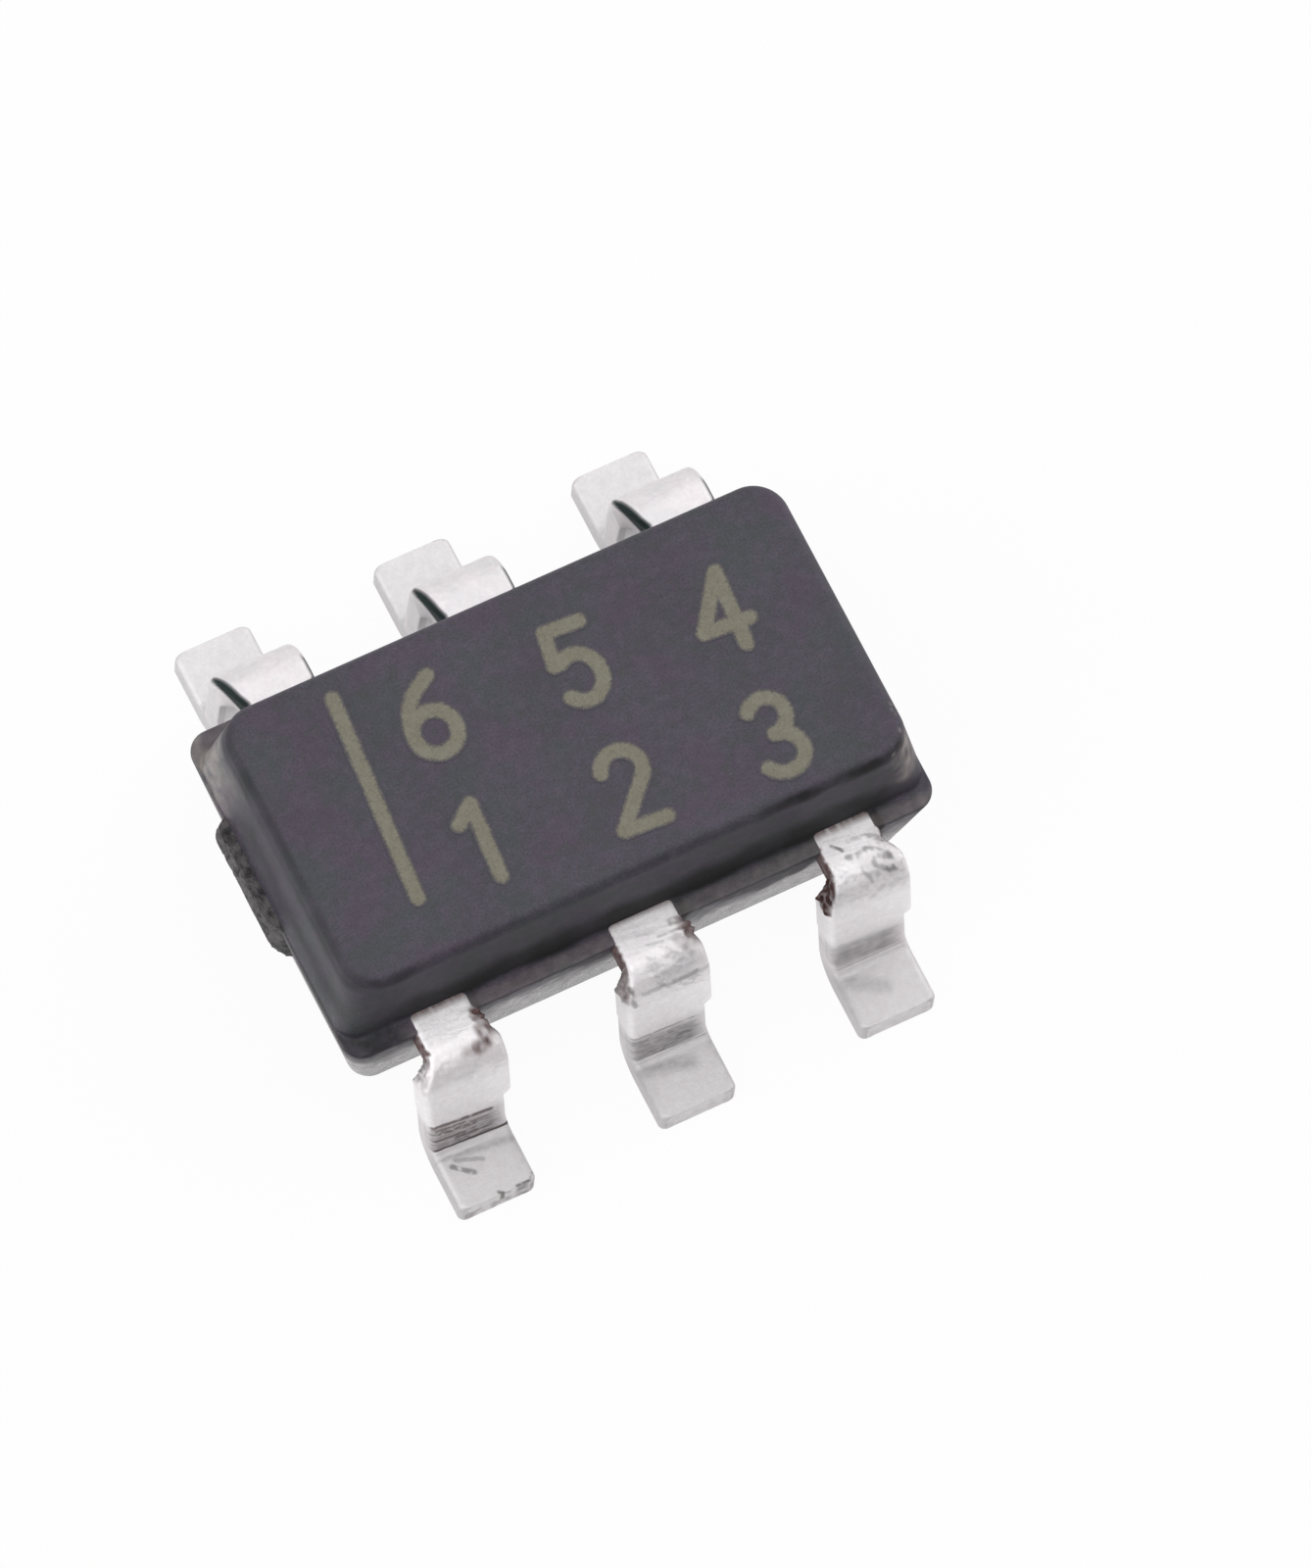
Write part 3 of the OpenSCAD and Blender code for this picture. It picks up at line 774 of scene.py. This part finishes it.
def section(left, right):
    """Points round the sheet: x, depth from the middle, and the coordinate round the section."""
    points = []
    for step in range(TOP_STEPS + 1):
        x = left + UPPER_ROUND + (right - left - 2 * UPPER_ROUND) * step / TOP_STEPS
        points.append((x, HALF_THICK, x))
    points += [(right - inset, depth, right + way) for inset, depth, way in CUT_EDGE]
    for step in range(1, BOTTOM_STEPS):
        x = right - LOWER_ROUND - (right - left - 2 * LOWER_ROUND) * step / BOTTOM_STEPS
        points.append((x, -HALF_THICK, MAP_UNDER - x))
    points += [(left + inset, depth, left - way) for inset, depth, way in reversed(CUT_EDGE)]
    return points


def ring_places(number, bend):
    """Distances along the sheet at which the lead gets a ring, closer together where it shows."""
    tip_start, tip_end = INNER_TIPS[number][2:]
    places = [tip_start + (tip_end - tip_start) * step / INNER_TIP_STEPS
              for step in range(INNER_TIP_STEPS + 1)]
    places += [tip_end + NECK_JUMP, *LEFT_FLARE[number > 3]]
    round_start = bend.tip - TIP_ROUND
    for s, end, step in ((tip_end + SEALED_STEP, SEALED_END, SEALED_STEP),
                         (SHOWN_FROM, round_start, SHOWN_STEP)):
        while s < end:
            places.append(s)
            s += step
    places += [round_start + TIP_ROUND * sin(angle) for angle in quarter(TIP_STEPS)]
    places.sort()
    kept = [places[0]]
    for s in places[1:]:
        if s - kept[-1] > LEAST_STEP:
            kept.append(s)
    return kept


def lead_relief(number, x, s, bend):
    """How far the upper face stands in or out, from rolling, bending and the forming tool."""
    knee = window(s, bend.knee - 0.02, bend.knee + 0.05, bend.shank_start, bend.shank_start + 0.06)
    wrinkle = smooth_noise(x * 26 + s * 14, s * 62 - x * 9, number * 3.7)
    wrinkle += 0.7 * smooth_noise(x * 48, s * 110, number * 1.3)
    past_heel = s - bend.heel_start
    tool = window(past_heel, -0.18, -0.15, 0, 0.02)
    grooves = smooth_noise(x * 2.5, s * 150, number * 5.1)
    crease = hump(past_heel, 0.06, 0.006)
    swell = smooth_noise(x * 3.5, s * 4.5, number * 9.1)
    return 0.0022 * knee * wrinkle + 0.0018 * tool * grooves - 0.002 * crease + 0.0012 * swell


# Strokes of the front leads: start and end on the sheet and half width in thousandths of a
# millimetre, then darkness and copper in hundredths
STROKES = {
    1: ((-160, 1266, 105, 1308, 19, 45, 62), (-160, 1480, 190, 1523, 17, 85, 35),
        (-148, 1300, -20, 1322, 13, 26, 60), (-135, 1334, 30, 1360, 16, 30, 66),
        (10, 1338, 90, 1354, 14, 20, 55), (-155, 1382, -20, 1402, 16, 36, 60),
        (-60, 1418, 100, 1446, 16, 40, 55), (-150, 1438, -80, 1448, 10, 20, 30),
        (-156, 1586, 160, 1634, 30, 30, 0), (-125, 1640, -50, 1702, 17, 55, 0),
        (-100, 1618, 10, 1662, 15, 34, 0), (6, 1825, 18, 1836, 12, 60, 30),
        (85, 1834, 145, 1833, 7, 60, 30), (145, 1830, 175, 1800, 5, 35, 20),
        (40, 918, 90, 922, 30, 0, 40), (90, 922, 150, 912, 34, 0, 95),
        (128, 872, 134, 915, 26, 0, 85)),
    2: ((-170, 1282, 130, 1304, 9, 50, 0), (-160, 1480, 160, 1522, 10, 35, 0),
        (-108, 978, 36, 982, 10, 32, 0), (36, 982, 150, 982, 12, 50, 0),
        (118, 872, 150, 915, 34, 20, 30), (60, 900, 125, 925, 28, 12, 10),
        (-54, 908, 10, 904, 26, 10, 0), (20, 955, 110, 950, 26, 12, 0),
        (-30, 795, 40, 806, 10, 14, 0), (50, 835, 132, 838, 9, 26, 10),
        (-150, 948, -147, 962, 13, 55, 0), (-156, 992, -148, 1008, 16, 45, 0),
        (-10, 850, 60, 862, 8, 18, 0), (0, 940, 90, 946, 12, 16, 0),
        (-140, 1600, 50, 1650, 60, 32, 0)),
    3: ((-56, 788, -22, 822, 12, 66, 30), (18, 792, 102, 804, 16, 28, 0),
        (102, 804, 144, 832, 18, 40, 10), (144, 836, 146, 868, 14, 50, 55),
        (-18, 860, 20, 863, 17, 50, 0), (20, 863, 66, 855, 15, 34, 0),
        (66, 855, 132, 885, 17, 46, 10), (96, 886, 152, 900, 18, 56, 0),
        (152, 900, 156, 935, 19, 66, 0), (156, 935, 118, 934, 19, 64, 0),
        (118, 934, 75, 903, 17, 52, 0), (75, 903, 96, 886, 15, 44, 0),
        (24, 906, 42, 942, 18, 42, 0), (42, 942, 78, 934, 17, 42, 0),
        (18, 1000, 66, 980, 12, 22, 0), (66, 980, 162, 984, 12, 20, 0),
        (105, 908, 125, 918, 55, 22, 0), (20, 865, 60, 930, 40, 14, 0),
        (-130, 1620, 0, 1700, 60, 26, 0)),
}
SCRATCHES = {number: [[part / 1000 for part in line[:5]] + [line[5] / 100, line[6] / 100]
                      for line in lines] for number, lines in STROKES.items()}

# Strokes with at least this half width are smudges
WIDE_STROKE = 0.02


def stroke(x, s, ends, half):
    """One on the line between two ends, falling to zero at its half width."""
    return 1 - blend(distance(x, s, *ends), 0.35 * half if half < WIDE_STROKE else 0, half)


# Rubbed band above the heel: upper and lower edge, softness, fill, fine lines and brown
HEEL_BAND = {1: (1.262, 1.475, 0.012, 0.09, 0.22, 1.7), 2: (1.285, 1.478, 0.014, 0.26, 0.28, 0.08),
             3: (1.262, 1.42, 0.028, 0.28, 0.06, 0)}
# Strength of the marks on the knees, and of copper on the cut edges, at the right and at the tips
KNEE_MARKS = {1: 0.15, 2: 0.46, 3: 0.26}
CUT_COPPER = {1: 0.1, 2: 0.65, 3: 0.9}
RIGHT_RED_SPOT = {1: 0.95, 2: 0.85, 3: 0.25}
TIP_COPPER = {1: 0.45, 2: 0.12, 3: 0.08, 4: 0.15, 5: 0.15, 6: 0.15}


def front_marks(number, x, s, bend):
    """Stains, rubbed band and scratches on the upper face of a front lead."""
    knee = window(s, bend.knee - 0.03, bend.knee + 0.03,
                  bend.shank_start - 0.02, bend.shank_start + 0.06)
    strokes = smooth_noise(x * 24 + s * 10, s * 90 - x * 30, number * 3.7)
    strokes += 0.6 * smooth_noise(x * 50, s * 140 + x * 40, number * 7.1)
    where = blend(wave(x, s, 7, number + 50) + 1.4 * x, -0.12, 0.22)
    line = hump(s, bend.knee + 0.118 + 0.02 * x, 0.006)
    dark = knee * blend(strokes, 0, 0.45) * where
    dark += line * blend(wave(x, 0, 14, number + 5), -0.25, 0.1)
    dark *= 0.55 * KNEE_MARKS[number]

    top, low, soft, fill, lines, brown = HEEL_BAND[number]
    t = s - 0.15 * (x + 0.17) + 0.006 * wave(x, s, 30, number)
    band = window(t, top - soft, top + soft, low - soft, low + soft)
    band *= window(x, -0.19, -0.165, 0.09, 0.15 + 0.05 * wave(s, 0, 40, number))
    hatch = smooth_noise(x * 7, t * 120, number * 5.1)
    lines *= blend(hatch, 0.02, 0.22) * blend(wave(x, t, 30, number + 31), -0.3, 0.05)
    dark += band * (fill * (0.85 + 0.6 * wave(x, t, 22, number + 80)) + lines)
    copper = brown * band * (fill + lines)

    wander_x = x + 0.003 * wave(s, 1, 40, 3)
    wander_s = s + 0.003 * wave(x, 2, 30, 4)
    broken = wave(x, s, 45, number + 90)
    for *ends, half, darkness, red in SCRATCHES[number]:
        line = stroke(wander_x, wander_s, ends, half)
        if half >= WIDE_STROKE:
            line *= 0.85 + 0.5 * broken
        elif number == 3:
            line *= blend(broken, -0.55, 0.25)
        elif darkness < 0.8:
            line *= blend(broken, -0.75, -0.1)
        dark = max(dark, darkness * line)
        copper = max(copper, red * line)
    stripes = smooth_noise(x * 4, s * 75 - x * 12, number * 2.3)
    dark += 0.09 * (1 - blend(s, 0.84, 0.9)) * blend(stripes, 0, 0.45)
    return dark, copper, 0.2 * knee * KNEE_MARKS[number] + 0.25 * band


def front_copper(number, x, s, depth, left, right, dark, copper):
    """Bare copper on the edges of a front lead, added to its marks. Its dark brown on the flanks by
    the body is partly painted shade.
    """
    start, end = LEFT_FLARE[0]
    ragged = 0.01 * wave(x, s, 38, number + 20)
    flank = max(blend(x, right - 0.012 + ragged, right - 0.003 + ragged),
                blend(left + 0.014 - x + ragged, 0, 0.009))
    # Flanks by the body: copper, darkened as painted shade
    if flank > 0 and s < start:
        copper = max(copper, flank * (0.95 + 0.25 * wave(x + depth, s, 30, number)))
    elif x < left + 0.012 and s < end + 0.004:
        bare = 1 - (1 - CUT_COPPER[number]) * blend(s, start, start + 0.05)
        copper = flank * bare * (0.85 + 0.6 * wave(depth, s, 40, number))
        if number == 3:
            black = blend(wave(depth, s, 34, 66) - 0.8 * abs(s - 0.94), -0.25, 0.05)
            dark = max(dark, flank * black)
    if s < 0.9:
        middle, reach, out = BURR[number]
        burr = blend(1 - abs(s - middle) / reach, 0, 0.5) * min(out * 50, 0.95)
        copper = max(copper, burr * blend(x, right - 0.03, right - 0.012))
    if depth > 0:
        root = 1 - blend(s, 0.708 + ragged, 0.722 + ragged)
        # A red-brown spot near the right edge of the shoulder
        spot = blend(x, right - 0.075 + 4 * ragged, right - 0.03 + 4 * ragged)
        spot *= window(s, 0.77, 0.8, 0.87, 0.93) * (0.95 + 0.5 * wave(x, s, 24, number + 40))
        copper = max(copper, 0.9 * root, RIGHT_RED_SPOT[number] * spot)
    return dark, copper


def rear_shade(x, s, depth, left, right, bend):
    """Painted shade on a rear lead: a dark wedge on the left edge, up to the bend, and a dark right
    edge.
    """
    dark = 0.85 * blend(x, right - 0.022, right - 0.006) * (1 - blend(s, 0.93, 0.96))
    share = (s - 0.815) / (bend.shank_start - 0.045 - 0.815)
    if share < 1:
        low = HALF_THICK - THICK * (1 - share)
        wedge = blend(left + 0.03 - x, 0, 0.012) * blend(depth, low - 0.016, low + 0.008)
        dark = max(dark, wedge)
    return dark


def lead_tone(number, x, s, depth, left, right, bend):
    """Dark marks and painted shade, bare copper (partly painted shade on the front neck flanks) and
    scuffs, each from 0 to 1.
    """
    dark = copper = scuff = 0
    if number > 3:
        dark = rear_shade(x, s, depth, left, right, bend)
    else:
        if depth > 0:
            dark, copper, scuff = front_marks(number, x, s, bend)
        dark, copper = front_copper(number, x, s, depth, left, right, dark, copper)
    if s > bend.tip - 0.003:
        bare = blend(wave(x, depth, 26, number + 7) - 9 * abs(depth + 0.022), -0.35, 0.05)
        black = blend(wave(x, depth, 30, number + 12) + 1.6 * x, 0.3, 0.55)
        copper = max(copper, TIP_COPPER[number] * 0.75 * bare)
        dark = max(dark, TIP_COPPER[number] * black)
    return clamp(dark), clamp(copper), scuff


def lead_piece(number, node_name):
    place, side = lead_place(number)
    bend = BENDS[side]
    rear = side > 0
    stations = ring_places(number, bend)
    start, end = LEFT_FLARE[rear]
    points = []
    uvs = []
    tones = []

    def add_point(s, x, y, z, depth, around, map_s, edges):
        points.append((place + x, side * y, z))
        uvs.append((around + number * MAP_LEAD, map_s))
        tones.append(lead_tone(number, x, s, depth, *edges, bend))

    for s in stations:
        y, z, angle = bend.at(s)
        left, right = sides_at(number, s, bend)
        torn = 0 if rear else 0.01 * window(s, start - 0.03, start, end + 0.02, end + 0.05)
        for x, depth, around in section(left, right):
            lift = depth
            if x < left + 0.02:
                x += torn * smooth_noise(depth * 38, s * 46, number * 2.9)
            if depth > 0 and s > SEALED_END:
                edge = min(blend(x, left, left + 0.03), blend(right - x, 0, 0.03))
                lift += lead_relief(number, x, s, bend) * (0.35 + 0.65 * edge)
            add_point(s, x, y + lift * sin(angle), z + lift * cos(angle), depth,
                      around, s, (left, right))
    count = len(points) // len(stations)
    # Rings on the tip face, from its rim to the middle
    left, right = sides_at(number, stations[-1], bend)
    for share in TIP_RINGS:
        for x, depth, around in section(left, right):
            add_point(bend.tip, x, HALF_SPAN, HALF_THICK + depth * share, depth * share,
                      around, bend.tip + HALF_THICK * (1 - share), (left, right))

    last = len(points) - count
    first_face = tuple(range(count))
    last_face = tuple(range(last, last + count))
    faces = [first_face if rear else first_face[::-1], last_face[::-1] if rear else last_face]
    indices = [1, 0]
    for base in range(0, last, count):
        row = base // count
        faces += band_faces(base, count, rear)
        sealed = row < len(stations) - 1 and stations[row] < PLATED_FROM
        indices += [1 if sealed else 0] * count
    piece = make_piece(node_name + "_plated", points, faces, [TIN, COPPER], crease=38,
                       tones=("lead_tone", tones), indices=indices, uvs=uvs)
    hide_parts(node_name)


# Plain lead numbers and the bar at lead 1, drawn as strokes on the top face
STROKE = 0.085
MARK_TURN = radians(-4.07)
MARK_TOP = 1.16
MARK_SKIRT = 0.004
MARK_CELL = 0.01
BAR = [(-0.802, 0.575), (-0.873, -0.385)]
DIGIT_PLACES = {"6": (-0.47, 0.33), "5": (0.19, 0.28), "4": (0.85, 0.23),
                "1": (-0.51, -0.27), "2": (0.15, -0.32), "3": (0.81, -0.37)}


def arc_points(cx, cy, radius_x, radius_y, start, end, steps=14):
    angles = [radians(start + (end - start) * step / steps) for step in range(steps + 1)]
    return [(cx + radius_x * cos(a), cy + radius_y * sin(a)) for a in angles]


# Each digit is about 0.27 wide and 0.43 high between the outer edges of its strokes
DIGITS = {
    "1": [[(-0.07, 0.1), (0.01, 0.175), (0.01, -0.175)]],
    "2": [arc_points(0, 0.085, 0.09, 0.09, 170, -35) + [(-0.095, -0.175), (0.1, -0.175)]],
    "3": [arc_points(0, 0.09, 0.082, 0.085, 150, -90),
          arc_points(0, -0.085, 0.095, 0.09, 90, -150)],
    "4": [[(0.05, -0.175), (0.05, 0.175), (-0.1, -0.07), (0.11, -0.07)]],
    "5": [[(0.09, 0.175), (-0.07, 0.175), (-0.085, 0.02)]
          + arc_points(0, -0.065, 0.095, 0.11, 130, -140)],
    "6": [[(0.06, 0.175)] + arc_points(0.09, -0.07, 0.185, 0.235, 110, 180)
          + arc_points(0, -0.075, 0.095, 0.1, 180, -180, 24)],
}


def stroke_mesh(lines, points, faces, tones, seed):
    """Adds the area within half a stroke of the lines, with a skirt."""
    xs = [x for line in lines for x, y in line]
    ys = [y for line in lines for x, y in line]
    margin = STROKE / 2 + 2 * MARK_CELL
    x0, y0 = min(xs) - margin, min(ys) - margin
    columns = int((max(xs) + margin - x0) / MARK_CELL) + 1
    rows = int((max(ys) + margin - y0) / MARK_CELL) + 1
    pieces = [(*a, *b) for line in lines for a, b in zip(line, line[1:])]
    field = {}
    index = {}

    def at(i, j):
        return x0 + i * MARK_CELL, y0 + j * MARK_CELL

    for i in range(columns + 1):
        for j in range(rows + 1):
            x, y = at(i, j)
            ragged = 0.003 * wave(x, y, 60, seed) + 0.0022 * wave(x, y, 24, seed + 3)
            field[i, j] = min(distance(x, y, *piece) for piece in pieces) - STROKE / 2 + ragged

    def vertex(key, x, y, z=MARK_TOP):
        if (key, z) not in index:
            index[key, z] = len(points)
            points.append((x, y, z))
            depth = blend(-field.get(key, 0), 0, 0.024)
            tones.append((depth, depth, depth))
        return index[key, z]

    for i in range(columns):
        for j in range(rows):
            corners = [(i, j), (i + 1, j), (i + 1, j + 1), (i, j + 1)]
            if all(field[c] > 0 for c in corners):
                continue
            outline = []
            cuts = []
            for here, after in zip(corners, corners[1:] + corners[:1]):
                a, b = field[here], field[after]
                if a <= 0:
                    outline.append(vertex(here, *at(*here)))
                if (a <= 0) != (b <= 0):
                    t = a / (a - b)
                    cut = ((min(here, after), max(here, after)),
                           *at(*(c + (d - c) * t for c, d in zip(here, after))))
                    outline.append(vertex(*cut))
                    cuts.append((a <= 0, cut))
            if len(outline) > 2:
                faces.append(tuple(outline))
            if len(cuts) == 2:
                (leaves, cut), (_, other) = cuts
                leaving, entering = (cut, other) if leaves else (other, cut)
                low = MARK_TOP - MARK_SKIRT
                faces.append((vertex(*entering), vertex(*leaving), vertex(*leaving, low),
                              vertex(*entering, low)))


def placed(line, cx, cy):
    c, s = cos(MARK_TURN), sin(MARK_TURN)
    return [(cx + x * c - y * s, cy + x * s + y * c) for x, y in line]


def marks():
    points = []
    faces = []
    tones = []
    stroke_mesh([BAR], points, faces, tones, 1)
    for digit, centre in DIGIT_PLACES.items():
        lines = [placed(line, *centre) for line in DIGITS[digit]]
        stroke_mesh(lines, points, faces, tones, 10 + int(digit))
    piece = make_piece("lead_numbers", points, faces, [MARK], crease=30,
                       tones=("mark_depth", tones))


body_shell()
gate_scar()
for number in range(1, 7):
    lead_piece(number, "lead_2_with_die_pad" if number == 2 else "lead_%d" % number)
marks()


def finish_node(name, material):
    for slot in nodes[name].material_slots:
        slot.material = material


finish_node("silicon_die", silicon_material())
finish_node("die_attach", paste_material())
GOLD = gold_material()
for number in range(1, 7):
    finish_node("bond_wire_%d" % number, GOLD)


# Floor, nearly white to the camera apart from the object's shadow
FLOOR_HALF = 400
FLOOR_COLOUR = (0.9, 0.9, 0.9, 1)
FLOOR_GLOW = 0.95


def floor():
    size = FLOOR_HALF * MM
    mesh = bpy.data.meshes.new("floor")
    corners = [(-size, -size, 0), (size, -size, 0), (size, size, 0), (-size, size, 0)]
    mesh.from_pydata(corners, [], [(0, 1, 2, 3)])
    material = bpy.data.materials.new("floor_white")
    g = Graph(material, "ShaderNodeOutputMaterial")
    plain = g.add("ShaderNodeBsdfDiffuse", {"Color": FLOOR_COLOUR}).outputs["BSDF"]
    glow = g.add("ShaderNodeEmission", {"Color": (*WHITE, 1), "Strength": 1})
    share = g.times(g.rays()[1], FLOOR_GLOW)
    both = g.add("ShaderNodeMixShader", {"Fac": share, 1: plain, 2: glow.outputs["Emission"]})
    g.put(g.output.inputs["Surface"], both.outputs["Shader"])
    mesh.materials.append(material)
    piece = bpy.data.objects.new("floor", mesh)
    scene.collection.objects.link(piece)


floor()


# Soft light from all round, weaker from the front, and four lamps
def world():
    scene.world = bpy.data.worlds.new("studio")
    g = Graph(scene.world, "ShaderNodeOutputWorld")
    camera_rays, seen = g.rays()
    front = g.spread(g.split(g.coordinates("Generated"))["Y"], -0.25, -0.65)
    front.node.interpolation_type = "SMOOTHSTEP"
    lit = g.times(g.spread(front, 0, 1, 1, 0.38), g.spread(seen, 0, 1, 0.42, 1))
    strength = g.calc("MAXIMUM", lit, camera_rays)
    light = g.add("ShaderNodeBackground", {"Color": (*WHITE, 1), "Strength": strength})
    g.put(g.output.inputs["Surface"], light.outputs["Background"])


def direction(azimuth, elevation):
    """Unit vector to a place seen from the part, with azimuth 0 in front and 90 at the right."""
    level = cos(elevation)
    return Vector((sin(azimuth) * level, -cos(azimuth) * level, sin(elevation)))


# In metres
LAMP_DISTANCE = 0.2


def sun(name, azimuth, elevation, strength, spread_degrees):
    data = bpy.data.lights.new(name, "SUN")
    data.energy = strength
    data.angle = radians(spread_degrees)
    lamp = bpy.data.objects.new(name, data)
    towards = direction(radians(azimuth), radians(elevation))
    lamp.rotation_mode = "QUATERNION"
    lamp.rotation_quaternion = towards.to_track_quat("Z", "Y")
    lamp.location = towards * LAMP_DISTANCE
    scene.collection.objects.link(lamp)


world()
sun("key_left", -90, 22, 1.1, 60)
sun("fill_right", 95, 25, 0.9, 60)
sun("fill_top", 180, 72, 0.5, 90)
sun("front_high", -20, 62, 0.5, 70)


# Camera at the photograph's angle, with its clip range in metres
CAMERA_AZIMUTH = -32.33
CAMERA_ELEVATION = 68.54
CAMERA_ROLL = 6.42
CAMERA_DISTANCE = 63.4
CAMERA_TARGET = (0, 0, 0.6)
CAMERA_SHIFT = (0.062, 0.00125)
CAMERA_CLIP = (0.005, 2)
LENS = 343.4


def camera():
    a, e, r = (radians(v) for v in (CAMERA_AZIMUTH, CAMERA_ELEVATION, CAMERA_ROLL))
    back = direction(a, e)
    level = Vector((cos(a), sin(a), 0))
    upright = back.cross(level)
    right = cos(r) * level + sin(r) * upright
    up = -sin(r) * level + cos(r) * upright
    place = Matrix((right, up, back)).transposed().to_4x4()
    place.translation = (Vector(CAMERA_TARGET) + back * CAMERA_DISTANCE) * MM
    data = bpy.data.cameras.new("camera")
    data.lens = LENS
    data.sensor_width = 36
    data.shift_x, data.shift_y = CAMERA_SHIFT
    data.clip_start, data.clip_end = CAMERA_CLIP
    item = bpy.data.objects.new("camera", data)
    item.matrix_world = place
    scene.collection.objects.link(item)
    scene.camera = item


camera()
scene.view_settings.view_transform = "Standard"
